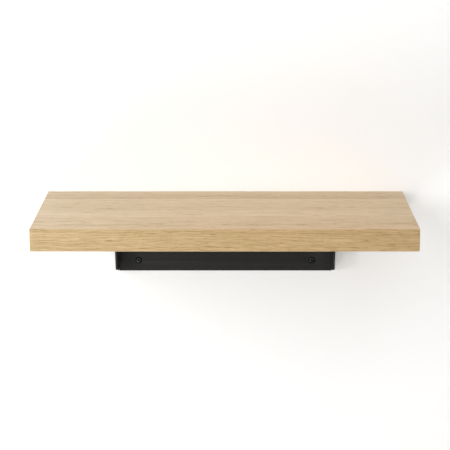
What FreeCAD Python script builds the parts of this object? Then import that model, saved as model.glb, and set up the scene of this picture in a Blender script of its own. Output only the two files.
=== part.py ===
import FreeCAD, Part
import math
import os
import Sketcher

# A floating wall shelf: an oak board, glued up from four full-length staves, on a folded steel
# bracket.  The bracket is screwed to the wall through its upright plate, and the board is
# screwed down to the bracket's top plate from below.
#
# Frame: X runs along the shelf, the wall is the plane Y = 0 with the shelf on the -Y side, and
# +Z is up.  The origin is the centre of the four wall screws, on the wall.  All sizes are in mm.

SIZES = [
    # the oak board
    ("board_length", "600", "board, end to end"),
    ("board_thickness", "36", "board, underside to top"),
    ("back_stave", "51", "width of the stave against the wall"),
    ("second_stave", "80", "width of the stave in front of it"),
    ("third_stave", "55", "width of the next stave"),
    ("front_stave", "64", "width of the stave at the front edge"),
    ("arris", "1.2", "radius of the eased edges of the finished board"),
    # the folded bracket
    ("sheet", "3", "thickness of the steel sheet"),
    ("bracket_length", "370", "outside of one cheek to outside of the other"),
    ("bracket_depth", "180", "wall to the front edge of the top plate"),
    ("plate_height", "103", "upright plate, lower edge to the board's underside"),
    ("bend_inside", "2.5", "inside radius of each fold"),
    ("seam_gap", "0.7", "open corner seam between the upright plate and a cheek"),
    ("notch_margin", "1", "corner notch, how far it runs past the folds"),
    ("cheek_foot", "40", "depth of a cheek at its foot"),
    ("cheek_rise", "12", "how far a cheek's lower edge climbs to its front corner"),
    ("lip_depth", "15", "depth of a cheek in front of its curve"),
    ("foot_round", "5", "radius of the cheek's lower front corner"),
    ("tip_round", "8", "radius of the cheek's upper front corner"),
    # the wall screws
    ("wall_spacing", "296", "wall screws, left to right"),
    ("wall_rows", "60", "wall screws, lower row to upper row"),
    ("wall_rise", "18.5", "lower row above the plate's lower edge"),
    ("wall_hole", "7", "clearance hole in the upright plate"),
    ("sink_land", "0.5", "straight wall left behind each countersink"),
    ("wall_head", "11.4", "diameter of the screw head"),
    ("wall_crown", "1.3", "height of the head's raised crown"),
    ("wall_shank", "6", "outside diameter of the thread"),
    ("wall_screw_length", "60", "rim of the head to the point"),
    ("wall_point", "7", "length of the point"),
    ("wall_recess_reach", "6.2", "cross recess, tip to tip"),
    ("wall_recess_width", "1.6", "width of each arm of the cross"),
    ("wall_recess_depth", "2.8", "depth of the cross below the crown"),
    # the board screws and their washers
    ("screw_columns", "3", "board screws in each row"),
    ("column_pitch", "145", "board screws, one column to the next"),
    ("rear_row", "30", "wall to the rear row of board screws"),
    ("front_margin", "20", "front row of board screws to the top plate's front edge"),
    ("board_hole", "5.2", "width of the holes in the top plate"),
    ("slot_travel", "5", "front holes, how far the screw can slide as the oak moves"),
    ("board_head", "9", "diameter of the pan head"),
    ("board_head_height", "2.8", "height of the pan head"),
    ("board_head_taper", "1.1", "how much smaller the head's radius is at its crown"),
    ("board_shank", "4.5", "diameter of the shank through the washer and the plate"),
    ("board_core", "3.1", "diameter of the shank in the oak, between its threads"),
    ("board_screw_length", "30", "underside of the head to the point"),
    ("board_point", "5", "length of the point"),
    ("board_recess_reach", "4.6", "cross recess, tip to tip"),
    ("board_recess_width", "1.2", "width of each arm of the cross"),
    ("board_recess_depth", "1.7", "depth of the cross"),
    ("washer_diameter", "10", "outside of a washer"),
    ("washer_hole", "5.3", "hole through a washer"),
    ("washer_thickness", "1", "thickness of a washer"),
    # fits
    ("drill_room", "1", "pilot hole, how far it runs past the screw's point"),
    ("running_gap", "0.05", "clearance round a shank or a cone in its seat"),
]

doc = FreeCAD.newDocument("wall_shelf")
sheet = doc.addObject("Spreadsheet::Sheet", "sizes")
for line, (alias, number, meaning) in enumerate(SIZES, 1):
    sheet.set(f"A{line}", meaning)
    sheet.set(f"B{line}", number)
    sheet.setAlias(f"B{line}", alias)
doc.recompute()

# Lengths that several pieces share, worked out from the sheet.
BEND_OUTSIDE = "(sizes.bend_inside + sizes.sheet)"
BOARD_DEPTH = "(sizes.back_stave + sizes.second_stave + sizes.third_stave + sizes.front_stave)"
PLATE_FOOT = "(-sizes.wall_rise - sizes.wall_rows / 2)"
SEAT = f"({PLATE_FOOT} + sizes.plate_height)"
SINK = "(sizes.wall_hole + 2 * (sizes.sheet - sizes.sink_land))"
FRONT_ROW = "(sizes.bracket_depth - sizes.front_margin)"
REAR_ROW = "sizes.rear_row"
SCREW_FIELD = "(sizes.column_pitch * (sizes.screw_columns - 1))"
SCREW_ROWS = f"({FRONT_ROW} - {REAR_ROW})"
SCREW_GRID = [("X_Axis", "sizes.screw_columns", SCREW_FIELD), ("Y_Axis", "2", SCREW_ROWS)]


def value(formula):
    """The number that a formula in the sheet's sizes comes to."""
    found = sheet.evalExpression(formula)
    return float(getattr(found, "Value", found))


def new_body(label, x="0", y="0", z="0", compound=False):
    """An empty body whose own zero stands at a point given by formulas."""
    body = doc.addObject("PartDesign::Body", label)
    body.AllowCompound = compound
    for axis, formula in zip("xyz", (x, y, z)):
        body.setExpression(f"Placement.Base.{axis}", formula)
    return body


def origin_feature(body, role):
    """One of the body's own planes or axes, by its role."""
    return next(item for item in body.Origin.OriginFeatures if item.Role == role)


def new_sketch(body, name, plane, lift="0"):
    """An empty sketch on one of the body's planes, lifted along the plane's normal."""
    sketch = body.newObject("Sketcher::SketchObject", name)
    sketch.AttachmentSupport = (origin_feature(body, plane), [""])
    sketch.MapMode = "FlatFace"
    sketch.setExpression("AttachmentOffset.Base.z", lift)
    return sketch


def pin_point(sketch, geometry, end, x, y):
    """Dimension one point of a sketch from its origin, both ways, by formulas."""
    for kind, formula in (("DistanceX", x), ("DistanceY", y)):
        constraint = Sketcher.Constraint(kind, -1, 1, geometry, end, value(formula))
        index = sketch.addConstraint(constraint)
        sketch.setExpression(f"Constraints[{index}]", formula)


def outline(body, name, plane, corners, arcs=None, lift="0"):
    """A closed outline through corners given by formulas.

    arcs gives, by the number of the corner where a side starts, a point that the side bulges
    towards and its radius; every other side is straight.
    """
    arcs = arcs or {}
    sketch = new_sketch(body, name, plane, lift)
    points = [FreeCAD.Vector(value(x), value(y), 0) for x, y in corners]
    for number, start in enumerate(points):
        finish = points[(number + 1) % len(points)]
        if number not in arcs:
            sketch.addGeometry(Part.LineSegment(start, finish), False)
            pin_point(sketch, number, 1, *corners[number])
            continue
        (x, y), radius = arcs[number]
        middle = arc_middle(start, finish, FreeCAD.Vector(value(x), value(y), 0), value(radius))
        sketch.addGeometry(Part.Arc(start, middle, finish), False)
        forwards = sketch.getPoint(number, 1).distanceToPoint(start) < 1e-6
        pin_point(sketch, number, 1 if forwards else 2, *corners[number])
        index = sketch.addConstraint(Sketcher.Constraint("Radius", number, value(radius)))
        sketch.setExpression(f"Constraints[{index}]", radius)
    join_ends(sketch, points)
    return sketch


def arc_middle(start, finish, towards, radius):
    """The middle of the shorter arc from start to finish that bulges towards a point."""
    chord = finish - start
    centre_line = (start + finish) * 0.5
    across = FreeCAD.Vector(-chord.y, chord.x, 0).normalize()
    if across.dot(towards - centre_line) < 0:
        across = across * -1
    half = chord.Length / 2
    return centre_line + across * (radius - max(radius**2 - half**2, 0) ** 0.5)


def join_ends(sketch, points):
    """Join each side of a sketch to the next where their ends meet."""
    for number in range(len(points)):
        follower = (number + 1) % len(points)
        meet = points[follower]
        ends = []
        for side in (number, follower):
            first = sketch.getPoint(side, 1).distanceToPoint(meet) < 1e-6
            ends.append(1 if first else 2)
        sketch.addConstraint(Sketcher.Constraint("Coincident", number, ends[0], follower, ends[1]))


def circle(body, name, plane, x, y, diameter, lift="0"):
    """A sketch of one circle, its centre and diameter given by formulas."""
    sketch = new_sketch(body, name, plane, lift)
    centre = FreeCAD.Vector(value(x), value(y), 0)
    sketch.addGeometry(Part.Circle(centre, FreeCAD.Vector(0, 0, 1), value(diameter) / 2), False)
    pin_point(sketch, 0, 3, x, y)
    index = sketch.addConstraint(Sketcher.Constraint("Diameter", 0, value(diameter)))
    sketch.setExpression(f"Constraints[{index}]", diameter)
    return sketch


def slot(body, name, plane, x, ends, radius, lift="0"):
    """A sketch of an upright slot: two half circles, centred on its ends, and two sides."""
    sketch = new_sketch(body, name, plane, lift)
    up = FreeCAD.Vector(0, 0, 1)
    for number, y in enumerate(ends):
        rim = Part.Circle(FreeCAD.Vector(value(x), value(y), 0), up, value(radius))
        sketch.addGeometry(Part.ArcOfCircle(rim, number * math.pi, (number + 1) * math.pi), False)
        pin_point(sketch, number, 3, x, y)
    index = sketch.addConstraint(Sketcher.Constraint("Radius", 0, value(radius)))
    sketch.setExpression(f"Constraints[{index}]", radius)
    sketch.addConstraint(Sketcher.Constraint("Equal", 0, 1))
    for side, first, second in ((2, 0, 1), (3, 1, 0)):
        line = Part.LineSegment(sketch.getPoint(first, 2), sketch.getPoint(second, 1))
        sketch.addGeometry(line, False)
        sketch.addConstraint(Sketcher.Constraint("Tangent", first, 2, side, 1))
        sketch.addConstraint(Sketcher.Constraint("Tangent", side, 2, second, 1))
    return sketch


def feature(body, kind, name, **settings):
    """Add a feature to a body; text settings are formulas, anything else is set as it is."""
    item = body.newObject(f"PartDesign::{kind}", name)
    for key, setting in settings.items():
        if isinstance(setting, str) and key in ("Length", "Radius", "Size", "Occurrences"):
            item.setExpression(key, setting)
        else:
            setattr(item, key, setting)
    body.Tip = item
    doc.recompute()
    return item


def revolve(body, name, profile):
    """Turn a half profile all the way round its sketch's upright axis."""
    axis = (profile, ["V_Axis"])
    return feature(body, "Revolution", name, Profile=profile, ReferenceAxis=axis)


def pocket(body, name, profile, **settings):
    """Cut a pocket, and make sure that it took something away."""
    before = body.Shape.Volume
    item = feature(body, "Pocket", name, Profile=profile, **settings)
    if item.Shape.Volume >= before:
        raise RuntimeError(f"{name} cuts nothing")
    return item


def edges(item, test):
    """The names of the edges of a feature whose middle point passes a test."""
    names = []
    for number, edge in enumerate(item.Shape.Edges, 1):
        middle = edge.valueAt((edge.FirstParameter + edge.LastParameter) / 2)
        if test(edge, middle):
            names.append(f"Edge{number}")
    if not names:
        raise RuntimeError(f"no edge found on {item.Label}")
    return names


def near(a, b):
    """Whether two lengths are the same."""
    return abs(a - b) < 1e-4


def runs_along(edge, axis):
    """Whether an edge is a straight line along X, Y or Z."""
    if not isinstance(edge.Curve, Part.Line):
        return False
    return near(abs(getattr(edge.Curve.Direction, axis)), 1)


def pattern(body, name, originals, directions):
    """Repeat features along one or two of the body's axes: (axis, count, whole length)."""
    rows = []
    for axis, count, length in directions:
        row = body.newObject("PartDesign::LinearPattern", f"{name}_{axis[0].lower()}")
        row.Direction = (origin_feature(body, axis), [""])
        row.setExpression("Occurrences", count)
        row.setExpression("Length", length)
        rows.append(row)
    repeat = body.newObject("PartDesign::MultiTransform", name)
    repeat.Originals = originals
    repeat.Transformations = rows
    body.Tip = repeat
    doc.recompute()
    return repeat


def cross(body, name, plane, reach, width, lift):
    """The plus-shaped outline of a cross recess, centred on the screw's axis."""
    far = f"{reach} / 2"
    near_side = f"{width} / 2"
    quarter = [(far, near_side), (near_side, near_side), (near_side, far)]
    turned = [
        quarter,
        [(f"-{x}", y) for x, y in reversed(quarter)],
        [(f"-{x}", f"-{y}") for x, y in quarter],
        [(x, f"-{y}") for x, y in reversed(quarter)],
    ]
    return outline(body, name, plane, sum(turned, []), lift=lift)


def make_panel():
    """The whole board as it leaves the planer: eased all round and drilled from below."""
    panel = new_body("panel", z=SEAT)
    half = "sizes.board_length / 2"
    corners = [
        (f"-{half}", f"-{BOARD_DEPTH}"),
        (half, f"-{BOARD_DEPTH}"),
        (half, "0"),
        (f"-{half}", "0"),
    ]
    plan = outline(panel, "panel_plan", "XY_Plane", corners)
    block = feature(panel, "Pad", "panel_block", Profile=plan, Length="sizes.board_thickness")
    every = edges(block, lambda edge, middle: True)
    feature(panel, "Fillet", "panel_eased", Base=(block, every), Radius="sizes.arris")
    drills = []
    bore = "sizes.board_core + 2 * sizes.running_gap"
    deep = "sizes.board_screw_length - sizes.washer_thickness - sizes.sheet + sizes.drill_room"
    for name, row in (("rear", REAR_ROW), ("front", FRONT_ROW)):
        mark = circle(panel, f"{name}_mark", "XY_Plane", f"-{SCREW_FIELD} / 2", f"-{row}", bore)
        drills.append(pocket(panel, f"{name}_drill", mark, Length=deep, Reversed=True))
    pattern(panel, "drilling", drills, [("X_Axis", "sizes.screw_columns", SCREW_FIELD)])
    return panel


def make_stave(panel, label, behind, width):
    """One full-length stave: the part of the board between two glue lines."""
    slab = doc.addObject("Part::Box", f"{label}_slab")
    slab.setExpression("Length", "sizes.board_length")
    slab.setExpression("Width", width)
    slab.setExpression("Height", "sizes.board_thickness")
    slab.setExpression("Placement.Base.x", "-sizes.board_length / 2")
    slab.setExpression("Placement.Base.y", f"-({behind}) - {width}")
    slab.setExpression("Placement.Base.z", SEAT)
    stave = doc.addObject("Part::Common", label)
    stave.Base = panel
    stave.Tool = slab
    return stave


def make_staves():
    """The four staves, from the wall to the front edge."""
    panel = make_panel()
    staves = []
    behind = "0"
    for name in ("back_stave", "second_stave", "third_stave", "front_stave"):
        width = f"sizes.{name}"
        staves.append(make_stave(panel, f"oak_{name}", behind, width))
        behind = f"{behind} + {width}"
    return staves


def make_bracket():
    """The bracket: one sheet, folded down at both ends and at the wall."""
    bracket = new_body("bracket", z=PLATE_FOOT)
    half = "sizes.bracket_length / 2"
    plan = [
        (f"-{half}", "-sizes.bracket_depth"),
        (half, "-sizes.bracket_depth"),
        (half, "0"),
        (f"-{half}", "0"),
    ]
    lift = "sizes.plate_height - sizes.sheet"
    top = outline(bracket, "top_plan", "XY_Plane", plan, lift=lift)
    feature(bracket, "Pad", "top_plate", Profile=top, Length="sizes.sheet")
    add_cheeks(bracket, half)
    add_wall_plate(bracket, half)
    round_corners(bracket)
    drill_wall_holes(bracket)
    drill_board_holes(bracket)
    return bracket


def add_cheeks(bracket, half):
    """The two end flanges: a low foot, a hollow curve and a shallow lip up to the front."""
    lip = "sizes.plate_height - sizes.lip_depth"
    curve = f"({lip} - sizes.cheek_rise)"
    side = [
        ("0", "0"),
        ("-sizes.cheek_foot", "sizes.cheek_rise"),
        (f"-sizes.cheek_foot - {curve}", lip),
        ("-sizes.bracket_depth", lip),
        ("-sizes.bracket_depth", "sizes.plate_height"),
        ("0", "sizes.plate_height"),
    ]
    hollow = {1: (("-sizes.cheek_foot", lip), curve)}
    profile = outline(bracket, "cheek_side", "YZ_Plane", side, hollow, f"{half} - sizes.sheet")
    cheek = feature(bracket, "Pad", "right_cheek", Profile=profile, Length="sizes.sheet")
    mirror_plane = (origin_feature(bracket, "YZ_Plane"), [""])
    both = feature(bracket, "Mirrored", "both_cheeks", Originals=[cheek], MirrorPlane=mirror_plane)
    outside = value(half)
    inside = outside - value("sizes.sheet")
    top = value("sizes.plate_height")
    under = top - value("sizes.sheet")

    def outer_fold(edge, middle):
        return runs_along(edge, "y") and near(abs(middle.x), outside) and near(middle.z, top)

    def inner_fold(edge, middle):
        return runs_along(edge, "y") and near(abs(middle.x), inside) and near(middle.z, under)

    outer = edges(both, outer_fold)
    rounded = feature(bracket, "Fillet", "cheek_folds", Base=(both, outer), Radius=BEND_OUTSIDE)
    inner = edges(rounded, inner_fold)
    feature(bracket, "Fillet", "cheek_folds_inside", Base=(rounded, inner), Radius="sizes.bend_inside")


def add_wall_plate(bracket, half):
    """The upright plate, its fold, and the square notches that let the folds meet."""
    end = f"({half} - sizes.sheet - sizes.seam_gap)"
    upright = [
        (f"-{end}", "0"),
        (end, "0"),
        (end, "sizes.plate_height"),
        (f"-{end}", "sizes.plate_height"),
    ]
    front = outline(bracket, "wall_plate_front", "XZ_Plane", upright)
    feature(bracket, "Pad", "wall_plate", Profile=front, Length="sizes.sheet")
    reach = f"({BEND_OUTSIDE} + sizes.notch_margin)"
    past = "sizes.notch_margin"
    corner = [
        (f"{half} - {reach}", f"-{reach}"),
        (f"{half} + {past}", f"-{reach}"),
        (f"{half} + {past}", past),
        (f"{half} - {reach}", past),
    ]
    plan = outline(bracket, "notch_plan", "XY_Plane", corner, lift="sizes.plate_height")
    notch = pocket(bracket, "right_notch", plan, Length=BEND_OUTSIDE)
    mirror_plane = (origin_feature(bracket, "YZ_Plane"), [""])
    both = feature(bracket, "Mirrored", "both_notches", Originals=[notch], MirrorPlane=mirror_plane)
    thick = value("sizes.sheet")
    top = value("sizes.plate_height")

    def outer_fold(edge, middle):
        return runs_along(edge, "x") and near(middle.y, 0) and near(middle.z, top)

    def inner_fold(edge, middle):
        return runs_along(edge, "x") and near(middle.y, -thick) and near(middle.z, top - thick)

    outer = edges(both, outer_fold)
    rounded = feature(bracket, "Fillet", "wall_fold", Base=(both, outer), Radius=BEND_OUTSIDE)
    inner = edges(rounded, inner_fold)
    feature(bracket, "Fillet", "wall_fold_inside", Base=(rounded, inner), Radius="sizes.bend_inside")


def round_corners(bracket):
    """Round the two front corners of each cheek."""
    foot = (-value("sizes.cheek_foot"), value("sizes.cheek_rise"))
    tip = (-value("sizes.bracket_depth"), value("sizes.plate_height - sizes.lip_depth"))
    for name, (y, z), radius in (("foot", foot, "foot_round"), ("tip", tip, "tip_round")):

        def corner(edge, middle):
            return runs_along(edge, "x") and near(middle.y, y) and near(middle.z, z)

        chosen = edges(bracket.Tip, corner)
        feature(bracket, "Fillet", f"cheek_{name}", Base=(bracket.Tip, chosen), Radius=f"sizes.{radius}")


def drill_wall_holes(bracket):
    """Four countersunk holes in the upright plate."""
    left = "-sizes.wall_spacing / 2"
    mark = circle(bracket, "wall_hole_mark", "XZ_Plane", left, "sizes.wall_rise", "sizes.wall_hole")
    hole = pocket(bracket, "wall_hole", mark, Type="ThroughAll", Reversed=True)
    radius = value("sizes.wall_hole") / 2
    face = -value("sizes.sheet")

    def mouth(edge, middle):
        round_edge = isinstance(edge.Curve, Part.Circle) and near(edge.Curve.Radius, radius)
        return round_edge and near(edge.CenterOfMass.y, face)

    rim = edges(hole, mouth)
    size = "sizes.sheet - sizes.sink_land"
    sink = feature(bracket, "Chamfer", "countersink", Base=(hole, rim), Size=size)
    rows = [("X_Axis", "2", "sizes.wall_spacing"), ("Z_Axis", "2", "sizes.wall_rows")]
    pattern(bracket, "wall_holes", [hole, sink], rows)


def drill_board_holes(bracket):
    """Round holes at the rear of the top plate and slots, across the grain, at the front."""
    left = f"-{SCREW_FIELD} / 2"
    lift = "sizes.plate_height"
    wide = "sizes.board_hole"
    mark = circle(bracket, "rear_hole_mark", "XY_Plane", left, f"-{REAR_ROW}", wide, lift)
    hole = pocket(bracket, "rear_hole", mark, Length="sizes.sheet")
    travel = "sizes.slot_travel / 2"
    ends = (f"-{FRONT_ROW} + {travel}", f"-{FRONT_ROW} - {travel}")
    plan = slot(bracket, "front_slot_plan", "XY_Plane", left, ends, f"{wide} / 2", lift)
    long_hole = pocket(bracket, "front_slot", plan, Length="sizes.sheet")
    row = [("X_Axis", "sizes.screw_columns", SCREW_FIELD)]
    pattern(bracket, "board_holes", [hole, long_hole], row)


def make_wall_screws():
    """Four raised countersunk screws that hold the upright plate to the wall."""
    screws = new_body(
        "wall_screws",
        x="-sizes.wall_spacing / 2",
        y="-sizes.sheet",
        z="-sizes.wall_rows / 2",
        compound=True,
    )
    rim = f"(({SINK} - sizes.wall_head) / 2 - sizes.running_gap)"
    head = "sizes.wall_head / 2"
    shank = "sizes.wall_shank / 2"
    point = f"{rim} + sizes.wall_screw_length"
    half = [
        ("0", f"{rim} - sizes.wall_crown"),
        (head, rim),
        (shank, f"{rim} + {head} - {shank}"),
        (shank, f"{point} - sizes.wall_point"),
        ("0", point),
    ]
    crown = "((sizes.wall_head / 2)^2 + sizes.wall_crown^2) / (2 * sizes.wall_crown)"
    dome = {0: ((head, f"{rim} - sizes.wall_crown"), crown)}
    profile = outline(screws, "wall_screw_half", "XY_Plane", half, dome)
    turned = revolve(screws, "wall_screw", profile)
    reach = "sizes.wall_recess_reach"
    lift = f"-({rim}) + sizes.wall_crown"
    plus = cross(screws, "wall_recess_plan", "XZ_Plane", reach, "sizes.wall_recess_width", lift)
    recess = pocket(screws, "wall_recess", plus, Length="sizes.wall_recess_depth")
    rows = [("X_Axis", "2", "sizes.wall_spacing"), ("Z_Axis", "2", "sizes.wall_rows")]
    pattern(screws, "four_wall_screws", [turned, recess], rows)
    return screws


def make_board_screws():
    """Six pan-head screws, up through their washers and the top plate into the oak."""
    screws = new_body(
        "board_screws",
        x=f"-{SCREW_FIELD} / 2",
        y=f"-{FRONT_ROW}",
        z=f"{SEAT} - sizes.sheet - sizes.washer_thickness",
        compound=True,
    )
    head = "sizes.board_head / 2"
    crown = "-sizes.board_head_height"
    shank = "sizes.board_shank / 2"
    core = "sizes.board_core / 2"
    oak = "sizes.washer_thickness + sizes.sheet"
    half = [
        ("0", crown),
        (f"{head} - sizes.board_head_taper", crown),
        (head, "0"),
        (shank, "0"),
        (shank, f"{oak} - ({shank} - {core})"),
        (core, oak),
        (core, "sizes.board_screw_length - sizes.board_point"),
        ("0", "sizes.board_screw_length"),
    ]
    profile = outline(screws, "board_screw_half", "XZ_Plane", half)
    turned = revolve(screws, "board_screw", profile)
    reach = "sizes.board_recess_reach"
    plus = cross(screws, "board_recess_plan", "XY_Plane", reach, "sizes.board_recess_width", crown)
    recess = pocket(screws, "board_recess", plus, Length="sizes.board_recess_depth", Reversed=True)
    pattern(screws, "six_board_screws", [turned, recess], SCREW_GRID)
    return screws


def make_washers():
    """A washer on each board screw, so that the front heads can slide along their slots."""
    washers = new_body(
        "board_washers",
        x=f"-{SCREW_FIELD} / 2",
        y=f"-{FRONT_ROW}",
        z=f"{SEAT} - sizes.sheet - sizes.washer_thickness",
        compound=True,
    )
    disc = circle(washers, "washer_disc", "XY_Plane", "0", "0", "sizes.washer_diameter")
    blank = feature(washers, "Pad", "washer_blank", Profile=disc, Length="sizes.washer_thickness")
    mark = circle(washers, "washer_mark", "XY_Plane", "0", "0", "sizes.washer_hole")
    bore = pocket(washers, "washer_bore", mark, Length="sizes.washer_thickness", Reversed=True)
    pattern(washers, "six_washers", [blank, bore], SCREW_GRID)
    return washers


pieces = make_staves()
pieces += [make_bracket(), make_wall_screws(), make_board_screws(), make_washers()]
doc.recompute()

for item in doc.Objects:
    if "Invalid" in item.State or "Error" in item.State:
        raise RuntimeError(f"{item.Label} failed: {item.State}")
for piece in pieces:
    if piece.Shape.isNull() or not piece.Shape.isValid():
        raise RuntimeError(f"{piece.Label} has no valid shape")

os.makedirs("parts", exist_ok=True)
for piece in pieces:
    piece.Shape.exportStep(f"parts/{piece.Label}.step")
    box = piece.Shape.BoundBox
    solids = len(piece.Shape.Solids)
    print(
        f"{piece.Label:18} {solids} solid(s), {piece.Shape.Volume / 1000:9.2f} cm3, "
        f"X {box.XMin:7.1f} {box.XMax:7.1f}  Y {box.YMin:7.1f} {box.YMax:6.1f}  "
        f"Z {box.ZMin:6.1f} {box.ZMax:6.1f}"
    )
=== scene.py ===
# %% [markdown]
# # A floating wall shelf
# The shelf is an oak board, glued up from four long staves, that sits on a black folded-steel
# bracket.  Four screws hold the bracket's upright plate to the wall, and six pan-head screws with
# washers hold the board down from below.
#
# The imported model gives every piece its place, in metres: X runs along the shelf, the wall is the
# plane Y = 0 with the shelf on its -Y side, and Z is up.  This lesson keeps those places and gives
# each piece its real surface and finish.

# %% Load the frame
import math

import bmesh
import bpy
import numpy as np
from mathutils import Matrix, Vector


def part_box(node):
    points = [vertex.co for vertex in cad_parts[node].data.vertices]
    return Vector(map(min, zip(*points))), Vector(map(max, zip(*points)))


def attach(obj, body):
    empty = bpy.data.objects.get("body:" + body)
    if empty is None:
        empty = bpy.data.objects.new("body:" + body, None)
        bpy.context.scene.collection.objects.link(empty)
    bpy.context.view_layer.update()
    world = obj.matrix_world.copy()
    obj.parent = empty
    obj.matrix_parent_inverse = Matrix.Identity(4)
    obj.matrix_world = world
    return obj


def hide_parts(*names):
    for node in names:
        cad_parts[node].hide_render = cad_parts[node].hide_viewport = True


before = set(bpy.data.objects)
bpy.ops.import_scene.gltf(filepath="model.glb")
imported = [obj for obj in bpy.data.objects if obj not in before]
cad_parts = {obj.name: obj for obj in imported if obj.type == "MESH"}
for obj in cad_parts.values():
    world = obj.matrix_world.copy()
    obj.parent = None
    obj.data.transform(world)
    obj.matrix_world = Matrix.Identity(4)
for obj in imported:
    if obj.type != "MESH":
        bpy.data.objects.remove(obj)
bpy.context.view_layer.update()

MM = 0.001

# %% [markdown]
# ## The camera
# A long lens from two and a half metres away keeps the board's long edges almost parallel, and
# looking down by a little under fifteen degrees shows its top.  The camera is placed by plain
# numbers, so that nothing depends on the size of the picture.

# %% Set up the camera
CAMERA_PLACE = (0.0086, -2.4876, 0.6842)
CAMERA_TURN = (75.296, 0.0604, 0.1903)
LENS, SENSOR = 120.89, 36.0
FARTHEST = 50.0

camera_data = bpy.data.cameras.new("camera")
camera_data.lens = LENS
camera_data.sensor_width = SENSOR
camera_data.clip_end = FARTHEST
camera = bpy.data.objects.new("camera", camera_data)
camera.location = CAMERA_PLACE
camera.rotation_euler = [math.radians(angle) for angle in CAMERA_TURN]
bpy.context.scene.collection.objects.link(camera)
bpy.context.scene.camera = camera
bpy.context.scene.view_settings.view_transform = "Standard"
print(f"camera: a {LENS} mm lens that looks down by {90.0 - CAMERA_TURN[0]:.1f} degrees")

# %% [markdown]
# ## Building a finish out of nodes
# A material is a small graph of nodes.  Wiring one by hand takes three calls for every node, so a
# helper class keeps the graph and offers one short call for each kind of step: a sum, a noise, a
# ramp.  Each call returns the socket that carries its result, and the next call takes it in.

# %% A helper for materials
class Finish:
    """A material being built.  Most methods add a node or two and return the result's socket."""

    def __init__(self, name):
        self.material = bpy.data.materials.new(name)
        self.material.use_nodes = True
        self.tree = self.material.node_tree
        self.tree.nodes.clear()

    def add(self, kind, inputs=(), **settings):
        """A node with its settings; inputs are (socket, number or other socket) pairs."""
        node = self.tree.nodes.new(f"ShaderNode{kind}")
        for name, setting in settings.items():
            setattr(node, name, setting)
        for key, given in inputs:
            if isinstance(given, bpy.types.NodeSocket):
                self.tree.links.new(given, node.inputs[key])
            elif given is not None:
                node.inputs[key].default_value = given
        return node

    def place(self):
        """Where on the object a point is, in millimetres."""
        metres = self.add("TexCoord").outputs["Object"]
        return self.vector("SCALE", metres, scale=1.0 / MM)

    def vector(self, operation, first, second=None, third=None, scale=None):
        """Vector arithmetic."""
        inputs = [(0, first), (1, second), (2, third), ("Scale", scale)]
        node = self.add("VectorMath", inputs, operation=operation)
        return node.outputs["Vector"]

    def sum(self, operation, first, second=None, third=None):
        """Arithmetic on numbers."""
        inputs = [(0, first), (1, second), (2, third)]
        return self.add("Math", inputs, operation=operation).outputs["Value"]

    def split(self, vector):
        """The three parts of a vector."""
        return self.add("SeparateXYZ", [(0, vector)]).outputs

    def join(self, x, y, z):
        """A vector out of three numbers."""
        return self.add("CombineXYZ", [(0, x), (1, y), (2, z)]).outputs["Vector"]

    def noise(self, vector, cell, shift=0.0, detail=2.0, roughness=0.5, colour=False):
        """Noise from 0 to 1, about 0.5, whose blobs are cell = (x, y, z) long."""
        scale = tuple(1.0 / length for length in cell)
        moved = self.add("Mapping", [(0, vector), ("Scale", scale), ("Location", (shift,) * 3)])
        inputs = [("Vector", moved.outputs[0]), ("Scale", 1.0), ("Detail", detail)]
        node = self.add("TexNoise", [*inputs, ("Roughness", roughness)])
        return node.outputs["Color" if colour else "Fac"]

    def step(self, number, low, high):
        """A soft step: 0 below low, 1 above high, and a smooth rise between them."""
        inputs = [("Value", number), ("From Min", low), ("From Max", high)]
        return self.add("MapRange", inputs, interpolation_type="SMOOTHSTEP").outputs["Result"]

    def ramp(self, number, stops):
        """A colour that runs through (position, (r, g, b)) stops."""
        node = self.add("ValToRGB", [("Fac", number)])
        elements = node.color_ramp.elements
        while len(elements) < len(stops):
            elements.new(1.0)
        for element, (position, colour) in zip(elements, stops):
            element.position = position
            element.color = (*colour, 1.0)
        return node.outputs["Color"]

    def bump(self, height, depth):
        """A bent normal from a height of 0 to 1 that stands for a relief of depth metres."""
        inputs = [("Height", height), ("Distance", depth), ("Strength", 1.0)]
        return self.add("Bump", inputs).outputs["Normal"]

    def cover(self, surface):
        """The finished material, once its surface is wired to the output."""
        self.add("OutputMaterial", [("Surface", surface)])
        print(f"{self.material.name}: {len(self.tree.nodes)} nodes")
        return self.material

    def close(self, **inputs):
        """The finished material, with a Principled shader that has these inputs."""
        pairs = [(name.replace("_", " "), given) for name, given in inputs.items()]
        return self.cover(self.add("BsdfPrincipled", pairs).outputs["BSDF"])


# %% [markdown]
# ## Oak, as a solid
# A picture of grain pasted on each face never agrees at the edges: a board's top, front edge and
# end show one and the same tree cut three ways.  So this oak is worked out for every point in
# space.  A stave is a piece cut some way off the pith, the centre line of the trunk, and a point's
# distance from that line is its age: whole rings are whole numbers.  A slight taper makes the rings
# run out on the face as long arches, and two noises bend the trunk, so that no ring is round.

# %% Bend the trunk and count its rings
DRIFT = (0.0, 14.0, 14.0)
WANDER = (0.0, 9.0, 4.4)
TAPER = 0.012
UNEVEN_YEARS = 2.4


def bend(f, here, shift):
    """A point's place in mm once the trunk is bent, and the quicker noise that bends it.

    The place is moved by a slow noise times DRIFT and by a quicker noise times WANDER.
    """
    slow = f.noise(here, (330.0, 70.0, 70.0), shift, detail=1.0, colour=True)
    quick = f.noise(here, (44.0, 26.0, 8.0), shift, detail=2.0, colour=True)
    bent = f.vector("MULTIPLY_ADD", slow, DRIFT, here)
    return f.vector("MULTIPLY_ADD", quick, WANDER, bent), quick


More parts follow.
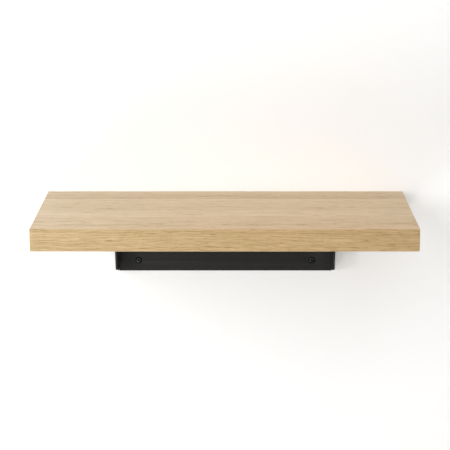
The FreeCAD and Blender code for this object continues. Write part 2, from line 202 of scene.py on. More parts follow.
def from_pith(f, bent, pith):
    """A point's mm along the pith, its mm out from it and its angle round it.

    Noise is a half on average, so the pith is moved on by half of DRIFT and half of WANDER.
    """
    centre = [at + (slow + quick) / 2 for at, slow, quick in zip((0.0, *pith), DRIFT, WANDER)]
    x, y, z = f.split(f.vector("SUBTRACT", bent, centre))
    out = f.sum("SQRT", f.sum("ADD", f.sum("MULTIPLY", y, y), f.sum("MULTIPLY", z, z)))
    out = f.sum("ADD", out, f.sum("MULTIPLY", x, TAPER))
    return x, out, f.sum("ARCTAN2", z, y)


def year_rings(f, out, ring, shift):
    """The early wood, the late wood and each year's own tone, as numbers from 0 to 1.

    The age is the distance out over the width of a ring, plus a noise of up to UNEVEN_YEARS.  Its
    whole part numbers the year, and the rest says how far through the year's ring a point is.
    """
    age = f.sum("DIVIDE", out, ring)
    uneven = f.noise(f.join(age, 0.0, 0.0), (3.0, 1.0, 1.0), shift, detail=1.0)
    age = f.sum("ADD", age, f.sum("MULTIPLY", uneven, UNEVEN_YEARS))
    part = f.sum("FRACT", age)
    year = f.sum("FLOOR", age)
    early = f.sum("SUBTRACT", 1.0, f.step(part, 0.02, 0.42))
    late = f.step(part, 0.80, 1.0)
    own = f.add("TexWhiteNoise", [("W", year)], noise_dimensions="1D").outputs["Value"]
    return early, late, own


# %% [markdown]
# ## Grain on the rings
# Rings alone look drawn.  Open pores crowd at the start of each ring, as dark dashes on a face and
# dots on an end.  Rays stand out from the pith as thin upright sheets, which show as pale flecks
# where the cut follows them.  Short dark dashes, fine streaks and a broader figure run along the
# trunk.  Each is a noise stretched to the size that it has in the wood, and all of them are added
# up with weights, so that one number says how dark or pale the grain is.

# %% Lay the grain on the rings
PORES_ABOVE, EARLY_PORES = 0.70, 0.12
RAYS_AT = 90.0
EARLY_WEIGHT, GRAIN_START = -0.26, 0.05


def oak_grain(f, here, bent, pith, ring, shift):
    """The whole grain as one number about 0, then its late wood, pores and fine streaks alone.

    A pore is where a fine noise is over PORES_ABOVE, or a little less in early wood.  A ray is a
    streak in the plane of the distance out and the angle, and is true to size RAYS_AT mm out.
    """
    x, out, turn = from_pith(f, bent, pith)
    early, late, own = year_rings(f, out, ring, shift)
    pore_field = f.noise(here, (7.0, 0.34, 0.34), shift, detail=1.0)
    pore_edge = f.sum("SUBTRACT", PORES_ABOVE, f.sum("MULTIPLY", early, EARLY_PORES))
    pores = f.step(f.sum("SUBTRACT", pore_field, pore_edge), -0.02, 0.04)
    sheet = f.join(x, f.sum("MULTIPLY", turn, RAYS_AT), out)
    rays = f.step(f.noise(sheet, (16.0, 0.5, 30.0), shift, detail=1.0), 0.62, 0.72)
    dashes = f.step(f.noise(bent, (22.0, 4.0, 1.2), shift + 7.0, detail=2.0), 0.55, 0.68)
    fine = f.noise(bent, (160.0, 1.1, 1.1), shift, detail=3.0, roughness=0.6)
    broad = f.noise(here, (520.0, 9.0, 9.0), shift, detail=2.0)
    figure = f.noise(bent, (42.0, 3.8, 1.5), shift, detail=4.0, roughness=0.6)

    grain = f.sum("MULTIPLY_ADD", early, EARLY_WEIGHT, GRAIN_START)
    for layer, weight in ((late, -0.05), (own, 0.14), (pores, -0.42), (rays, 0.08), (dashes, -0.43)):
        grain = f.sum("MULTIPLY_ADD", layer, weight, grain)
    for layer, weight in ((fine, 0.78), (broad, 0.34), (figure, 1.12)):
        grain = f.sum("MULTIPLY_ADD", f.sum("SUBTRACT", layer, 0.5), weight, grain)
    return grain, late, pores, fine


# %% [markdown]
# ## Tone and gloss
# A stave has its own slow change of tone from back to front, and the glue line in front of the back
# stave is dark.  The top is sanded finer than the edges, so its grain shows less and thin rows of pores
# lie along it.  The top is also tinted a little paler and bluer and the edges a little yellower, a
# painted sheen for the light that glances off the top.  One ramp turns the tone into a colour.  The
# open pores are rougher than the wood around them and a little sunk.

# %% Make the oak
OAK_DARK = (0.36, 0.225, 0.10)
OAK_MIDDLE = (0.60, 0.43, 0.225)
OAK_PALE = (0.76, 0.60, 0.37)
# Painted sheen: the top's tint is paler and bluer than the edges' tint, which is a little yellower.
SHEENLESS_EDGE_TINT, TOP_SHEEN_TINT = (0.985, 0.965, 0.905), (1.0, 1.005, 1.035)
BOARD_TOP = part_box("oak_front_stave")[1].z / MM
TONE_LIFT, TONE_WANDER = 0.12, 4.0
TOP_SHOW = 0.55
ROWS_MEAN, ROWS_WEIGHT = 0.12, 0.26
ENDS_BETWEEN = (-340.0, 150.0)
PORE_DEPTH = 0.06 * MM


def slow_tone(f, here, quick, tones):
    """A stave's slow change of tone, from (mm from the wall, tone) pairs across it.

    The quick noise moves a point by up to TONE_WANDER mm, so that no tone ends in a ruled line.
    """
    low, high = tones[0][0], tones[-1][0]
    y = f.split(f.vector("MULTIPLY_ADD", quick, (0.0, TONE_WANDER, 0.0), here))[1]
    across = f.sum("SUBTRACT", f.sum("MULTIPLY", y, -1.0), low - TONE_WANDER / 2)
    across = f.sum("DIVIDE", across, high - low)
    return f.ramp(across, [((distance - low) / (high - low), (tone,) * 3) for distance, tone in tones])


def oak(name, pith, ring, shift, tones, left, right):
    """Oak cut off the pith at (y, z) mm, with rings of a width in mm.

    tones are (mm from the wall, tone) pairs across the stave.  left and right tint its two ends,
    and the blend between them is painted light and shade for the light's fall from left to right.
    The top shows only TOP_SHOW of the grain, and has rows of pores instead.  It is tinted paler
    and bluer than the edges, a painted sheen.
    """
    f = Finish(name)
    here = f.place()
    bent, quick = bend(f, here, shift)
    grain, late, pores, fine = oak_grain(f, here, bent, pith, ring, shift)
    x, _, z = f.split(here)
    top = f.step(z, BOARD_TOP - 2.0, BOARD_TOP - 0.3)
    show = f.sum("MULTIPLY_ADD", top, TOP_SHOW - 1.0, 1.0)
    tone = f.sum("MULTIPLY_ADD", grain, show, TONE_LIFT)
    tone = f.sum("ADD", tone, slow_tone(f, here, quick, tones))
    rows = f.step(f.noise(bent, (80.0, 5.0, 3.0), shift + 13.0, detail=2.0), 0.54, 0.68)
    rows = f.sum("MULTIPLY", f.sum("SUBTRACT", ROWS_MEAN, rows), top)
    tone = f.sum("MULTIPLY_ADD", rows, ROWS_WEIGHT, tone)

    colour = f.ramp(tone, [(0.0, OAK_DARK), (0.5, OAK_MIDDLE), (1.0, OAK_PALE)])
    # painted sheen: the top is tinted paler and bluer than the edges
    colour = f.vector("MULTIPLY", colour, f.ramp(top, [(0.0, SHEENLESS_EDGE_TINT), (1.0, TOP_SHEEN_TINT)]))
    ends = f.step(x, *ENDS_BETWEEN)
    # painted light and shade: the tint blends from the left end's to the right end's, following the
    # light's fall
    colour = f.vector("MULTIPLY", colour, f.ramp(ends, [(0.0, left), (1.0, right)]))
    rough = f.sum("MULTIPLY_ADD", pores, 0.25, f.sum("MULTIPLY_ADD", fine, 0.12, 0.30))
    height = f.sum("MULTIPLY_ADD", pores, -1.0, f.sum("MULTIPLY", late, 0.12))
    height = f.sum("MULTIPLY_ADD", fine, 0.18, height)
    return f.close(Base_Color=colour, Roughness=rough, Normal=f.bump(height, PORE_DEPTH))


# %% [markdown]
# ## From arrays to a piece
# The new pieces are worked out as arrays of points and faces.  One helper makes a mesh of them,
# turns the faces outwards, which is the way round that gives the solid a positive volume, hides the
# CAD node that the piece stands for and hangs the piece on the root body.

# %% Turn arrays into a piece
CREASE = math.radians(34.0)


def wrap_quads(rings, around):
    """Four-sided faces between neighbouring rings of a closed tube, as rows of indices."""
    ring = np.arange(rings - 1)[:, None] * around
    here = np.arange(around)[None, :]
    ahead = (here + 1) % around
    corners = [ring + here, ring + ahead, ring + around + ahead, ring + around + here]
    return np.stack(corners, -1).reshape(-1, 4)


def piece(name, vertices, blocks, node):
    """A new mesh object from vertices in metres and blocks of faces; it stands for a CAD node.

    It is shaded smooth, apart from the edges where its faces turn by more than CREASE.
    """
    mesh = bpy.data.meshes.new(name)
    faces = [face for block in blocks for face in np.asarray(block).tolist()]
    mesh.from_pydata(np.asarray(vertices).tolist(), [], faces)
    solid = bmesh.new()
    solid.from_mesh(mesh)
    if solid.calc_volume(signed=True) < 0:
        bmesh.ops.reverse_faces(solid, faces=solid.faces)
    solid.to_mesh(mesh)
    solid.free()
    mesh.shade_smooth()
    mesh.set_sharp_from_angle(angle=CREASE)
    made = bpy.data.objects.new(name, mesh)
    bpy.context.scene.collection.objects.link(made)
    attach(made, "root")
    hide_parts(node)
    print(f"{name}: {len(mesh.vertices)} vertices, {len(mesh.polygons)} faces")
    return made


# %% [markdown]
# ## The four staves
# A stave could be a box with a Bevel modifier, but only the board's outer edges are eased by hand,
# and the glued edges stay almost sharp.  So each stave is a loop carried along the board: four
# corner arcs, each with its own radius, joined by straight runs.  Towards the ends the loop draws
# in on its outer sides, by a quarter circle, which eases the ends too and makes the board's corners
# nearly eighths of a ball.  Hand sanding is never quite even, so the outer radius drifts a little
# along the board.

# %% Draw a stave's loops
ARRIS = 1.2 * MM
GLUED = 0.12 * MM
LEAST = 0.01 * MM
STATIONS = 181
CORNER_STEPS = 7
END_STEPS = 7


def sanding(x, shift):
    """How the eased radius drifts along the board, as a factor from 1 to 1.3: two slow waves."""
    return 1.15 + 0.09 * np.sin(x * 31.0 + shift) + 0.06 * np.sin(x * 83.0 + 2.3 * shift)


def stave_loops(low, high, eased_back, eased_front):
    """The loops of one stave, as an array of stations by points by (x, y, z).

    A loop runs round the section, from the lower back corner up and forward.  Each corner is a
    quarter circle about a centre that lies one radius inside both sides.
    """
    half = high.x
    along = np.linspace(-half + ARRIS, half - ARRIS, STATIONS)
    quarter = np.linspace(0.0, np.pi / 2, END_STEPS + 1)[1:]
    x_end = half - ARRIS + ARRIS * np.sin(quarter)
    x = np.concatenate([-x_end[::-1], along, x_end])
    drawn = ARRIS * (1.0 - np.cos(quarter))
    inset = np.concatenate([drawn[::-1], np.zeros(len(along)), drawn])
    corners = [
        (high.y, low.z, 1, -1, eased_back, 0.3),
        (high.y, high.z, 1, 1, eased_back, 4.0),
        (low.y, high.z, -1, 1, eased_front, 2.2),
        (low.y, low.z, -1, -1, eased_front, 1.1),
    ]
    turns = np.linspace(0.0, np.pi / 2, CORNER_STEPS)
    loops = []
    for y, z, side, up, eased, shift in corners:
        if eased:
            radius = ARRIS * sanding(x, shift) * (1.0 - inset / ARRIS) + LEAST
            side_inset = inset
        else:
            radius = np.full(len(x), GLUED)
            side_inset = np.zeros(len(x))
        centre_y = y - side * (side_inset + radius)
        centre_z = z - up * (inset + radius)
        start = math.atan2(up, side) - math.pi / 4
        angle = start + turns
        ys = centre_y[:, None] + radius[:, None] * np.cos(angle)[None, :]
        zs = centre_z[:, None] + radius[:, None] * np.sin(angle)[None, :]
        loops.append(np.stack([np.broadcast_to(x[:, None], ys.shape), ys, zs], -1))
    return np.concatenate(loops, axis=1)


# %% [markdown]
# ## Four pieces of oak
# The staves are cut at different places off the pith, so each has its own rings and its own tones.
# Tints from the left end to the right paint the fall of the light along the board: warmer and darker
# on the right, and paler on the left of the front stave.  A table holds what differs, and one loop
# makes all four.

# %% Make the four staves
def make_stave(node, finish, eased_back, eased_front):
    """A closed stave: its loops joined by quads, and a flat face on each end."""
    loops = stave_loops(*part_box(node), eased_back, eased_front)
    stations, around = loops.shape[:2]
    ends = np.stack([np.arange(around)[::-1], np.arange(around) + (stations - 1) * around])
    blocks = [wrap_quads(stations, around), ends]
    made = piece(f"{node}_planed", loops.reshape(-1, 3), blocks, node)
    made.data.materials.append(finish)


# Painted shade: the right end's tint is warmer and darker, for the weaker light there.
PALE_END, WARM_SHADED_END = (1.0, 1.005, 1.01), (1.01, 0.968, 0.92)

# Each row is a stave's node, its pith's (y, z) and its rings' width in mm, the shift of its noise,
# its shade, the tints of its left and right ends, which paint the light's fall along the board as
# light and shade, and its (mm from the wall, tone) pairs.
STAVES = [
    ("oak_back_stave", (-70.0, -60.0), 2.6, 3.1, 0.975, PALE_END, WARM_SHADED_END,
     ((0, 0.50), (30, 0.47), (36, 0.36), (41, 0.46), (47.5, 0.45), (48.8, 0.06), (51, 0.02))),
    ("oak_second_stave", (-210.0, -90.0), 2.9, 11.7, 1.0, PALE_END, WARM_SHADED_END,
     ((51, 0.18), (52, 0.55), (70, 0.58), (90, 0.50), (112, 0.47), (131, 0.50))),
    ("oak_third_stave", (-20.0, -120.0), 2.4, 23.9, 1.0, PALE_END, WARM_SHADED_END,
     ((131, 0.55), (150, 0.58), (162, 0.60), (174, 0.56), (186, 0.47))),
    ("oak_front_stave", (-214.0, 10.0), 3.1, 37.3, 1.0, (1.02, 1.01, 0.985), (1.01, 0.94, 0.865),
     ((186, 0.46), (205, 0.45), (224, 0.48), (240, 0.56), (248, 0.54), (250, 0.56))),
]

for node, pith, ring, shift, shade, left, right, tones in STAVES:
    left, right = (tuple(shade * part for part in tint) for tint in (left, right))
    finish = oak(f"{node}_grain", pith, ring, shift, tones, left, right)
    make_stave(node, finish, node == "oak_back_stave", node == "oak_front_stave")

# %% [markdown]
# ## Powder coat
# The bracket is sprayed with a powder that melts in an oven and sets as a matt black skin.  It isn't
# quite smooth: fine pimples stand on a slower wave, like the skin of an orange, and its gloss
# changes a little from place to place.

# %% Mix the powder coat
COAT_RELIEF = 0.05 * MM


def powder_coat():
    """Matt black powder coat: a fine pimpled skin over a slower orange-peel wave."""
    f = Finish("black_powder_coat")
    here = f.place()
    pimples = f.noise(here, (0.55, 0.55, 0.55), detail=2.0, roughness=0.6)
    peel = f.noise(here, (3.2, 3.2, 3.2), 5.0, detail=1.0)
    patches = f.noise(here, (60.0, 60.0, 60.0), 9.0, detail=2.0)
    height = f.sum("MULTIPLY_ADD", peel, 0.8, pimples)
    rough = f.sum("MULTIPLY_ADD", patches, 0.14, f.sum("MULTIPLY_ADD", pimples, 0.12, 0.36))
    colour = f.ramp(pimples, [(0.3, (0.013, 0.0125, 0.0115)), (0.7, (0.022, 0.0212, 0.0195))])
    normal = f.bump(height, COAT_RELIEF)
    return f.close(Base_Color=colour, Roughness=rough, Specular_IOR_Level=0.26, Normal=normal)


# %% [markdown]
# ## The bracket
# The bracket is one sheet of three-millimetre steel with three folds.  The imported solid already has
# its folds, notches, countersinks and slots, so its mesh is copied rather than drawn again.  What
# it lacks is the coat: powder flows round a sheared edge as it bakes and leaves a small radius that
# catches the light.  The copy's triangles are joined up, flat areas are made whole, and a Bevel
# modifier rounds every edge sharper than a fold.

# %% Coat the bracket
COAT_RADIUS = 0.35 * MM
SAME_PLACE = 0.002 * MM
FLAT = math.radians(0.4)
FOLDED = math.radians(30.0)
SHEARED = math.radians(38.0)


def join_triangles(mesh):
    """Merge the corners of loose triangles, then make each flat area one face again."""
    solid = bmesh.new()
    solid.from_mesh(mesh)
    bmesh.ops.remove_doubles(solid, verts=solid.verts, dist=SAME_PLACE)
    edges = [edge for edge in solid.edges if edge.is_manifold and edge.calc_face_angle(1.0) < FLAT]
    bmesh.ops.dissolve_limit(solid, angle_limit=FLAT, verts=solid.verts, edges=edges)
    print("open edges in the joined sheet:", sum(not edge.is_manifold for edge in solid.edges))
    solid.to_mesh(mesh)
    solid.free()


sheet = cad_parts["bracket"].data.copy()
sheet.name = "bracket_coated"
join_triangles(sheet)
sheet.shade_smooth()
sheet.set_sharp_from_angle(angle=FOLDED)
bracket = bpy.data.objects.new("bracket_coated", sheet)
bpy.context.scene.collection.objects.link(bracket)
rounding = bracket.modifiers.new("coat_radius", "BEVEL")
rounding.width = COAT_RADIUS
rounding.segments = 2
rounding.limit_method = "ANGLE"
rounding.angle_limit = SHEARED
rounding.harden_normals = True
sheet.materials.clear()
sheet.materials.append(powder_coat())
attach(bracket, "root")
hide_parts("bracket")

# %% [markdown]
# ## Screws
# A screw is turned and rolled, so it is one surface of two parameters: how far along the outline
# from the crown to the point, and how far round.  The thread is a ridge whose place along the shank
# moves on by one pitch in each turn, so it is a function of (distance / pitch - turn).  The cross
# recess is a dent in the crown, deep in the middle, whose four arms run out towards the rim.

# %% Dent a crown and cut a thread
AROUND = 64


def soft_step(number, low, high):
    """0 below low, 1 above high, and the smooth curve 3t^2 - 2t^3 between them."""
    t = np.clip((number - low) / (high - low), 0.0, 1.0)
    return t * t * (3.0 - 2.0 * t)


def cross_turns(radius, width):
    """Angles of the points on each ring of a crown, bunched so that lines of them follow the arms.

    On a ring of a radius, an arm's wall stands between the angles whose sines are 0.4 and 0.5 of
    the width over the radius.  Near the middle, where no such angles are left, both stop short of
    an eighth of a turn.  One eighth of the ring is laid out, mirrored, and repeated, which makes
    AROUND points.
    """
    foot, edge = (np.arcsin(np.minimum(share * width / radius, 1.0)) for share in (0.40, 0.50))
    foot, edge = np.minimum(foot, 0.66), np.minimum(edge, 0.72)
    beyond = [edge + (np.pi / 4 - edge) * part for part in (0.2, 0.4, 0.6, 0.8)]
    eighth = np.stack([0.0 * foot, foot / 2, foot, edge, *beyond], -1)
    middle = np.full((len(radius), 1), np.pi / 4)
    quarter = np.concatenate([eighth, middle, np.pi / 2 - eighth[:, :0:-1]], -1)
    return np.concatenate([quarter + np.pi / 2 * count for count in range(4)], -1)


def cross_dent(radius, turn, reach, width, depth):
    """How deep a cross recess is at (radius, turn), in the same units as depth.

    Each arm is a slot of a width with steep walls, and its floor rises in a curve from the full
    depth at the middle to nothing at the reach: depth times (1 - (distance / reach)^2.2)^0.55.
    """
    u = np.abs(radius * np.cos(turn))
    v = np.abs(radius * np.sin(turn))
    across, along = np.minimum(u, v), np.maximum(u, v)
    wall = 1.0 - soft_step(across, width * 0.40, width * 0.50)
    floor = np.clip(1.0 - (along / reach) ** 2.2, 0.0, 1.0)
    return depth * wall * floor ** 0.55


def thread(distance, turn, pitch, start, stop, height):
    """A rolled thread: a sharp ridge, once a pitch, that grows at its start and fades at its end.

    Its two flanks are straight, and each is 0.24 of a pitch wide.
    """
    phase = np.mod(distance / pitch - turn / (2 * np.pi), 1.0)
    ridge = np.clip(1.0 - np.abs(phase - 0.5) / 0.24, 0.0, 1.0)
    envelope = soft_step(distance, start, start + pitch) * (1 - soft_step(distance, stop - pitch, stop))
    return height * envelope * ridge


# %% [markdown]
# ## From an outline to a screw
# The outline is carried round the axis as rings of points.  The crown's rings are dented by the
# cross, the shank's rings are widened by the thread, and a fan of triangles closes either end.  The
# board's screws are all alike, so that one shape can be copied to every place.

# %% Carry an outline round
def turned(outline, crown, recess, threading, driven):
    """Points and faces of a screw along +X, from its outline of (radius, distance) rows.

    The first rings are the crown, which has a cross recess of (reach, width, depth) turned by the
    angle that it was driven to.  threading is (pitch, start, stop, height, shank's radius).
    """
    outline = np.asarray(outline)
    reach, width, depth = recess
    pitch, start, stop, height, core = threading
    even = np.arange(AROUND) * (2 * np.pi / AROUND)
    turn = np.broadcast_to(even, (len(outline), AROUND)).copy()
    turn[:crown] = cross_turns(outline[:crown, 0], width)
    radius, along = (np.repeat(column[:, None], AROUND, axis=1) for column in outline.T)
    along[:crown] += cross_dent(radius[:crown], turn[:crown], reach, width, depth)
    shank = (np.arange(len(outline)) >= crown)[:, None] & (radius <= core + 0.01)
    radius += thread(along, turn, pitch, start, stop, height) * shank
    turn += driven
    skin = np.stack([along, radius * np.cos(turn), radius * np.sin(turn)], -1)
    poles = np.array([[along[0].mean(), 0.0, 0.0], [along[-1].mean(), 0.0, 0.0]])
    vertices = np.concatenate([skin.reshape(-1, 3), poles])
    rings, around = radius.shape
    here = np.arange(around)
    ahead = (here + 1) % around
    last = (rings - 1) * around
    top = np.stack([ahead, here, np.full(around, rings * around)], -1)
    point = np.stack([last + here, last + ahead, np.full(around, rings * around + 1)], -1)
    return vertices, [wrap_quads(rings, around), top, point]


def copies(vertices, blocks, places):
    """The same shape at each place, as one set of vertices and faces."""
    places = np.asarray(places)
    everywhere = (vertices[None, :, :] + places[:, None, :]).reshape(-1, 3)
    jump = np.arange(len(places))[:, None, None] * len(vertices)
    return everywhere, [(block[None] + jump).reshape(-1, block.shape[1]) for block in blocks]


# %% [markdown]
# ## The wall screws
# These are six-millimetre raised countersunk screws, chemically blackened.  The crown is a shallow
# dome, the cone under it fills the countersink, a plain neck passes the plate, and the rolled
# thread cuts into the wall plug.

# %% Blacken the wall screws
# Radii and lengths are in mm, and so are a recess's reach, width and depth, and a thread's pitch,
# start, stop, height and core.  How far each screw was driven is an angle.
WALL_HEAD, WALL_NECK, WALL_CORE = 5.7, 2.75, 2.1
WALL_CROWN, WALL_LAND = 1.3, 0.3
WALL_LENGTH, WALL_NECK_END, WALL_POINT = 60.0, 14.0, 7.0
WALL_RECESS = (3.1, 1.6, 2.8)
WALL_THREAD = (3.0, 15.0, WALL_LENGTH - 1.0, 0.9, WALL_CORE)
WALL_DRIVEN = (0.62, 0.2, 1.05, 0.85)
BLACK_RELIEF = 0.01 * MM


def wall_screw_places():
    """The four rims' centres, in metres, from the node's own box."""
    low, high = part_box("wall_screws")
    half_x = high.x - WALL_HEAD * MM
    half_z = high.z - WALL_HEAD * MM
    rim = low.y + WALL_CROWN * MM
    return [(x, rim, z) for x in (-half_x, half_x) for z in (-half_z, half_z)]


def blackened_steel():
    """Black oxide on steel: rubbed a little paler on the crown, deep black towards the rim.

    How far a point lies behind the crown tells the two apart.  The deep black, on the dome's outer
    part, the rim and the cross recess, is painted shade.
    """
    f = Finish("black_screw_steel")
    here = f.place()
    crown = wall_screw_places()[0][1] / MM - WALL_CROWN
    deep = f.step(f.split(here)[1], crown + 0.3, crown + 0.6)
    film = f.noise(here, (1.4, 1.4, 1.4), detail=3.0)
    rough = f.sum("MULTIPLY_ADD", film, 0.16, f.sum("MULTIPLY_ADD", deep, 0.12, 0.12))
    # painted shade: what lies deep behind the crown goes near black, darker than the film elsewhere
    rubbed_and_shade = f.sum("MULTIPLY_ADD", deep, -0.6, film)
    colour = f.ramp(rubbed_and_shade, [(0.0, (0.004, 0.004, 0.004)), (0.7, (0.095, 0.095, 0.095))])
    height = f.noise(here, (0.3, 0.3, 0.3), 3.0, detail=1.0)
    normal = f.bump(height, BLACK_RELIEF)
    return f.close(Base_Color=colour, Metallic=1.0, Roughness=rough, Normal=normal)


# %% [markdown]
# ## Four screws, driven by hand
# An outline runs from the middle of the crown over the rim, down the cone and along the shank to the
# point.  A screw stops wherever it is tight, so each of the four has its cross and its thread at
# another angle.

# %% Turn the wall screws
def wall_screw(driven):
    """One screw, its rim at distance 0, in millimetres.

    The crown's height over the rim is its full height times (1 - share^2)^0.7, where share is how
    far out a point is: close to a ball, a little steeper at its edge.  The point's radius is the
    core's times (1 - tip)^0.8, where tip is how far along the point it is.
    """
    share = np.sin(np.linspace(0.03, np.pi / 2, 48))
    rise = -WALL_CROWN * np.clip(1.0 - share ** 2, 0.0, 1.0) ** 0.7
    cone = np.linspace(WALL_HEAD, WALL_NECK, 6)
    shank = np.linspace(4.0, WALL_LENGTH - WALL_POINT, 230)
    tip = np.linspace(0.0, 0.98, 25)[1:]
    outline = np.concatenate([
        np.stack([WALL_HEAD * share, rise], -1),
        np.stack([cone, WALL_LAND + WALL_HEAD - cone], -1),
        np.stack([np.where(shank < WALL_NECK_END, WALL_NECK, WALL_CORE), shank], -1),
        np.stack([WALL_CORE * (1.0 - tip) ** 0.8, WALL_LENGTH - WALL_POINT * (1.0 - tip)], -1),
    ])
    return turned(outline, len(share), WALL_RECESS, WALL_THREAD, driven)


parts = []
for driven, place in zip(WALL_DRIVEN, wall_screw_places()):
    vertices, blocks = wall_screw(driven)
    parts.append(vertices[:, [1, 0, 2]] * MM + np.array(place))
_, blocks = copies(vertices, blocks, np.zeros((len(parts), 3)))
vertices = np.concatenate(parts)
wall_screws = piece("wall_screws_turned", vertices, blocks, "wall_screws")
wall_screws.data.materials.append(blackened_steel())

# %% [markdown]
# ## Zinc plate
# The board screws and their washers are plated with bright zinc, a pale metal that is a little blue.
# Handling leaves soft wipe marks in its gloss.

# %% Mix the zinc plate
def zinc_plate():
    """Bright zinc: a pale, slightly blue metal with soft wipe marks in its gloss."""
    f = Finish("zinc_screw_steel")
    here = f.place()
    wipes = f.noise(here, (2.6, 0.5, 1.1), detail=3.0, roughness=0.6)
    rough = f.sum("MULTIPLY_ADD", wipes, 0.22, 0.20)
    colour = f.ramp(wipes, [(0.3, (0.56, 0.57, 0.58)), (0.7, (0.68, 0.69, 0.71))])
    return f.close(Base_Color=colour, Metallic=1.0, Roughness=rough)


ZINC = zinc_plate()

# %% [markdown]
# ## The board screws
# These are pan-head screws, four and a half millimetres thick, that hold the board down from under
# the bracket's top plate.  They are made as the wall screws are, with a rounded pan for the crown.

# %% Turn the board screws
PAN_HEAD, BOARD_NECK, BOARD_CORE = 4.5, 2.25, 1.55
PAN_HEIGHT, PAN_FALL, PAN_RIM = 2.8, 1.9, 0.35
PAN_CURVE = (0.42, 1.12)
BOARD_LENGTH, BOARD_NECK_END, BOARD_POINT = 30.0, 4.0, 5.0
BOARD_RECESS = (2.3, 1.2, 1.7)
BOARD_THREAD = (2.0, 4.2, BOARD_LENGTH - 0.8, 0.7, BOARD_CORE)
BOARD_DRIVEN = 0.4
COLUMNS_X = (-145.0, 0.0, 145.0)
ROWS_Y = (-30.0, -160.0)


def board_screw():
    """One screw, the underside of its head at distance 0, in millimetres.

    The pan is flat in the middle and falls away to its edge by a part of the smooth curve between
    the two shares of its radius in PAN_CURVE.  The point is made as a wall screw's is.
    """
    share = np.linspace(0.03, 1.0, 40)
    fall = PAN_FALL * soft_step(share, *PAN_CURVE) / soft_step(1.0, *PAN_CURVE)
    shank = np.linspace(0.4, BOARD_LENGTH - BOARD_POINT, 150)
    tip = np.linspace(0.0, 0.98, 20)[1:]
    outline = np.concatenate([
        np.stack([PAN_HEAD * share, fall - PAN_HEIGHT], -1),
        [[PAN_HEAD, -PAN_RIM], [PAN_HEAD - 0.25, 0.0], [BOARD_NECK, 0.0]],
        np.stack([np.where(shank < BOARD_NECK_END, BOARD_NECK, BOARD_CORE), shank], -1),
        np.stack([BOARD_CORE * (1.0 - tip) ** 0.8, BOARD_LENGTH - BOARD_POINT * (1.0 - tip)], -1),
    ])
    return turned(outline, len(share), BOARD_RECESS, BOARD_THREAD, BOARD_DRIVEN)


crowns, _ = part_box("board_screws")
head_z = crowns.z + PAN_HEIGHT * MM
places = [(x * MM, y * MM, head_z) for x in COLUMNS_X for y in ROWS_Y]
vertices, blocks = board_screw()
upright = vertices[:, [1, 2, 0]] * MM
vertices, blocks = copies(upright, blocks, places)
board_screws = piece("board_screws_turned", vertices, blocks, "board_screws")
board_screws.data.materials.append(ZINC)

# %% [markdown]
# ## The washers
# A washer is stamped out of sheet, which leaves a flat ring with slightly rounded edges.  It spreads
# the load of a screw's head, and in the front row it bridges the bracket's slots.

# %% Stamp the washers
WASHER_HOLE, WASHER_RADIUS, WASHER_THICKNESS = 2.65, 5.0, 1.0
WASHER_ROUND = 0.14


def washer():
    """A ring along +Z: its section is a rectangle whose corners are rounded by the stamping.

    The section is four quarter circles of (radius, height) points, and it is carried round a turn.
    """
    quarter = np.linspace(0.0, np.pi / 2, 5)
    outer, inner = WASHER_RADIUS - WASHER_ROUND, WASHER_HOLE + WASHER_ROUND
    upper, lower = WASHER_THICKNESS - WASHER_ROUND, WASHER_ROUND
    section = []
    for count, (r, z) in enumerate([(outer, upper), (inner, upper), (inner, lower), (outer, lower)]):
        angle = quarter + count * np.pi / 2
        arc = np.stack([np.cos(angle), np.sin(angle)], -1)
        section.append(np.array([r, z]) + WASHER_ROUND * arc)
    r, z = np.concatenate(section).T
    turn = np.linspace(0.0, 2 * np.pi, 56, endpoint=False)[:, None]
    ring = np.stack([r * np.cos(turn), r * np.sin(turn), np.broadcast_to(z, (len(turn), len(z)))], -1)
    vertices = ring.reshape(-1, 3) * MM
    return vertices, [wrap_quads(len(turn) + 1, len(r)) % len(vertices)]


washer_low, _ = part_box("board_washers")
washer_places = [(x, y, washer_low.z) for x, y, _ in places]
vertices, blocks = copies(*washer(), washer_places)
washers = piece("board_washers_stamped", vertices, blocks, "board_washers")
washers.data.materials.append(ZINC)

# %% [markdown]
# ## Wall and floor
# The shelf hangs on a plain white wall, above a plain pale floor.  Both have only one side: a ray
# that comes from behind passes through, so that the back of the shelf can be looked at too.  The
# wall stands a twentieth of a millimetre in front of the plane Y = 0, inside the sheet, so that the
# shelf's own back faces lie behind it, in the light of the lamp there.

# %% Paint the wall and the floor
FLOOR_LEVEL = -1.35
SKIN = -0.05 * MM
FADE_BETWEEN = (700.0, 2200.0)
WALL_WHITE, WALL_LIFT = (0.945, 0.936, 0.926), 0.295
FLOOR_WHITE, FLOOR_LIFT, FLOOR_MIRRORED = (0.86, 0.855, 0.845), 0.4, 0.1


def clear_of_bracket(f, here):
    """1 beside, above and below the bracket as the wall sees it, and 0 straight behind it."""
    low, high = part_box("bracket")
    half_x, half_z = high.x / MM, (high.z - low.z) / 2 / MM
    x, _, z = f.split(here)
    off_x = f.sum("ABSOLUTE", x)
    off_z = f.sum("ABSOLUTE", f.sum("SUBTRACT", z, (high.z + low.z) / 2 / MM))
    beside = f.step(off_x, half_x - 2.0, half_x)
    above = f.step(off_z, half_z - 1.0, half_z)
    return f.sum("MAXIMUM", beside, above)


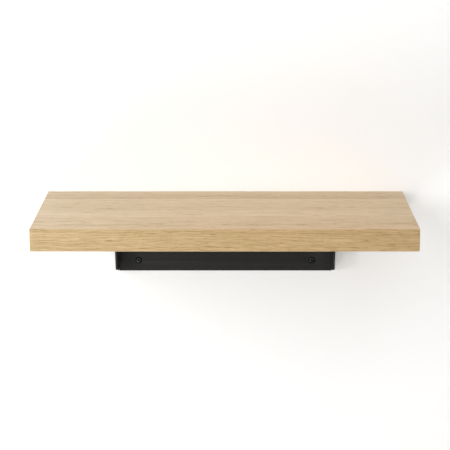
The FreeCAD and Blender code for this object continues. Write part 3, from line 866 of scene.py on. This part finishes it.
def one_sided(name, colour, seen, mirrored, middle):
    """A matt paint on the front of a sheet; the back isn't there.

    Sight gets a lift towards white, and so do reflections, but not the light that the paint gives
    back.  What is seen grows to full white with the distance from the middle, given in mm, so that
    no edge or horizon shows.  There is no lift straight behind the bracket, so that its open seams
    stay dark.
    """
    f = Finish(name)
    here = f.place()
    distance = f.add("VectorMath", [(0, here), (1, middle)], operation="DISTANCE").outputs["Value"]
    path = f.add("LightPath").outputs
    seen = f.sum("MAXIMUM", f.step(distance, *FADE_BETWEEN), seen)
    lift = f.sum("MULTIPLY", path["Is Camera Ray"], seen)
    lift = f.sum("MULTIPLY_ADD", path["Is Glossy Ray"], mirrored, lift)
    lift = f.sum("MULTIPLY", clear_of_bracket(f, here), lift)
    paint = f.add("BsdfDiffuse", [("Color", (*colour, 1.0))]).outputs[0]
    glow = f.add("Emission", [("Strength", lift)]).outputs[0]
    front = f.add("AddShader", [(0, paint), (1, glow)]).outputs[0]
    clear = f.add("BsdfTransparent").outputs[0]
    behind = f.add("NewGeometry").outputs["Backfacing"]
    return f.cover(f.add("MixShader", [(0, behind), (1, front), (2, clear)]).outputs[0])


def stage_sheet(name, corners, finish):
    """A flat four-cornered sheet that faces the side its corners run round."""
    mesh = bpy.data.meshes.new(name)
    mesh.from_pydata(corners, [], [(0, 1, 2, 3)])
    mesh.materials.append(finish)
    made = bpy.data.objects.new(name, mesh)
    bpy.context.scene.collection.objects.link(made)


wall_corners = [(-4, SKIN, FLOOR_LEVEL), (4, SKIN, FLOOR_LEVEL), (4, SKIN, 4), (-4, SKIN, 4)]
floor_corners = [(-6, -6, FLOOR_LEVEL), (6, -6, FLOOR_LEVEL), (6, 6, FLOOR_LEVEL), (-6, 6, FLOOR_LEVEL)]
wall_middle, floor_middle = (0.0, 0.0, 0.0), (0.0, 0.0, FLOOR_LEVEL / MM)
wall_paint = one_sided("wall_paint", WALL_WHITE, WALL_LIFT, WALL_LIFT, wall_middle)
floor_paint = one_sided("floor_paint", FLOOR_WHITE, FLOOR_LIFT, FLOOR_MIRRORED, floor_middle)
stage_sheet("wall", wall_corners, wall_paint)
stage_sheet("floor", floor_corners, floor_paint)

# %% [markdown]
# ## Light
# The light is a large soft lamp high on the left in front and a weaker one overhead.  A low one
# stands for the light that a pale floor gives back.  One far out on the right, a little below the
# board, lights its right end and only skims the wall, and one behind the wall lights the back.

# %% Light the shelf
def lamp(name, place, target, size, power):
    """An area lamp of a size (wide, tall) at a place, turned towards a target."""
    data = bpy.data.lights.new(name, "AREA")
    data.shape = "RECTANGLE"
    data.size, data.size_y = size
    data.energy = power
    made = bpy.data.objects.new(name, data)
    made.location = place
    towards = Vector(target) - Vector(place)
    made.rotation_euler = towards.to_track_quat("-Z", "Y").to_euler()
    bpy.context.scene.collection.objects.link(made)
    print(f"{name} lamp: {power} W")


lamp("key", (-1.88, -1.88, 0.84), (0.0, -0.1, 0.05), (1.2, 2.0), 46.0)
lamp("overhead", (0.2, -1.2, 2.4), (0.0, -0.1, 0.0), (2.0, 2.0), 23.0)
lamp("low", (-0.9, -1.3, -1.15), (0.0, -0.1, 0.05), (1.2, 1.0), 12.5)
lamp("side", (2.3, -0.05, -0.1), (0.0, -0.05, -0.1), (0.08, 0.3), 8.0)
lamp("behind", (1.6, 2.3, 0.9), (0.0, 0.0, 0.0), (1.6, 1.6), 28.0)

# %% [markdown]
# ## The glow all around
# A weak even glow from the world fills in what the lamps leave dark.  What is seen of the world,
# straight or mirrored, is white instead, and a Light Path node tells the two kinds of ray apart.

# %% Fill in with a glow
GLOW, SEEN = 0.1, 1.0

world = bpy.data.worlds.new("studio")
world.use_nodes = True
tree = world.node_tree
tree.nodes.clear()
glow = tree.nodes.new("ShaderNodeBackground")
glow.inputs["Strength"].default_value = GLOW
seen = tree.nodes.new("ShaderNodeBackground")
seen.inputs["Strength"].default_value = SEEN
for shade in (glow, seen):
    shade.inputs["Color"].default_value = (1.0, 1.0, 1.0, 1.0)
path = tree.nodes.new("ShaderNodeLightPath")
either = tree.nodes.new("ShaderNodeMath")
either.operation = "MAXIMUM"
mix = tree.nodes.new("ShaderNodeMixShader")
out = tree.nodes.new("ShaderNodeOutputWorld")
tree.links.new(path.outputs["Is Camera Ray"], either.inputs[0])
tree.links.new(path.outputs["Is Glossy Ray"], either.inputs[1])
tree.links.new(either.outputs[0], mix.inputs[0])
tree.links.new(glow.outputs[0], mix.inputs[1])
tree.links.new(seen.outputs[0], mix.inputs[2])
tree.links.new(mix.outputs[0], out.inputs["Surface"])
bpy.context.scene.world = world
